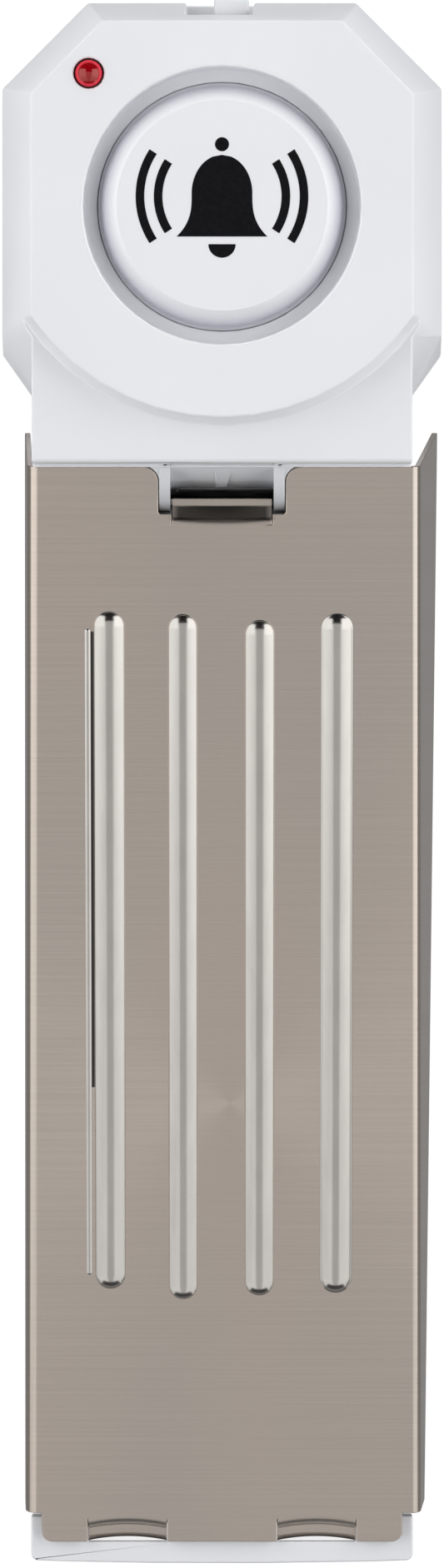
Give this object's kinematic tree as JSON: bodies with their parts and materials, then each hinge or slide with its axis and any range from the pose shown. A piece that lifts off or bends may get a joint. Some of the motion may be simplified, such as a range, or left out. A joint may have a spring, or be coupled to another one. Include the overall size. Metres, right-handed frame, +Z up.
{
  "type": "door stop alarm",
  "caption": "Wedge-shaped door stop alarm: a plastic body with an eight-sided siren head and a sprung steel ramp plate that works a switch when a door presses it.",
  "frame": {"origin": "on the floor under the middle of the object", "axes": "+Y towards the siren head, +Z up, +X to the right seen from above with the head away"},
  "size_m": [0.0448, 0.1584, 0.0359],
  "materials": {
    "white_shell": "fine satin moulding",
    "grey_frame": "satin",
    "black_plastic": "satin",
    "brushed_plate": "brushed along the slope",
    "plated_steel": "bright plating",
    "red_lens": "gloss",
    "rubber_pad": "matte",
    "board_laminate": "satin",
    "brass_disc": "plain",
    "piezo_ceramic": "silvered",
    "copper_coil": "enamelled copper wire",
    "resistor_body": "satin",
    "battery_jacket": "printed steel can",
    "white_cap": "fine satin moulding",
    "red_insulation": "satin",
    "grey_insulation": "satin"
  },
  "bodies": {
    "housing": {"upper_shell": "white_shell", "siren_cap": "white_cap", "base_plate": "white_shell", "battery_tray": "grey_frame", "led": "red_lens", "led_lead_1": "plated_steel", "led_lead_2": "plated_steel", "front_grip": "rubber_pad", "middle_grip": "rubber_pad", "battery": "battery_jacket", "terminal_plus": "plated_steel", "terminal_minus": "plated_steel", "snap_connector": "black_plastic", "battery_wire_1": "black_plastic", "battery_wire_2": "red_insulation", "trigger_wire": "grey_insulation", "circuit_board": "board_laminate", "board_screw_1": "plated_steel", "board_screw_2": "plated_steel", "siren_chip": "black_plastic", "step_up_coil": "copper_coil", "capacitor": "black_plastic", "transistor": "black_plastic", "resistor_1": "resistor_body", "resistor_2": "resistor_body", "piezo_ring": "grey_frame", "piezo_plate": "brass_disc", "piezo_ceramic": "piezo_ceramic", "switch_body": "black_plastic", "trigger_switch": "black_plastic", "return_spring_left": "plated_steel", "return_spring_right": "plated_steel", "base_screw_1": "plated_steel", "tray_screw_1": "plated_steel", "base_screw_2": "plated_steel", "tray_screw_2": "plated_steel", "base_screw_3": "plated_steel", "tray_screw_3": "plated_steel", "base_screw_4": "plated_steel", "tray_screw_4": "plated_steel"},
    "ramp": {"wedge_plate": "brushed_plate"},
    "lever": {"trigger_lever": "plated_steel"},
    "button": {"trigger_button": "red_insulation"},
    "power_knob": {"switch_knob": "white_cap"},
    "door": {"battery_door": "white_shell", "rear_grip_left": "rubber_pad", "rear_grip_right": "rubber_pad"}
  },
  "joints": [
    {"name": "plate_press", "type": "hinge", "parent": "housing", "child": "ramp", "pos_m": [0, -0.0758, 0.0036], "axis": [-1, 0, 0], "range_deg": [0, 1.6], "stiffness_Nm_per_rad": 8, "springref_deg": -2.86, "deforming": ["return_spring_left", "return_spring_right"]},
    {"name": "trigger_lever_hinge", "type": "hinge", "parent": "housing", "child": "lever", "pos_m": [0, 0.0142, 0.0182], "axis": [-1, 0, 0], "range_deg": [0, 11.6]},
    {"name": "trigger_button_slide", "type": "slide", "parent": "housing", "child": "button", "axis": [0, 0, -1], "range_m": [0, 0.0009]},
    {"name": "power_slide", "type": "slide", "parent": "housing", "child": "power_knob", "axis": [-1, 0, 0], "range_m": [0, 0.0024]},
    {"name": "door_slide", "type": "slide", "parent": "housing", "child": "door", "axis": [0, 1, 0], "range_m": [0, 0.052]}
  ],
  "couplings": [
    {"joint": "trigger_lever_hinge", "follows": "plate_press", "ratio": 7.2},
    {"joint": "trigger_button_slide", "follows": "plate_press", "m_per_rad": 0.03}
  ]
}
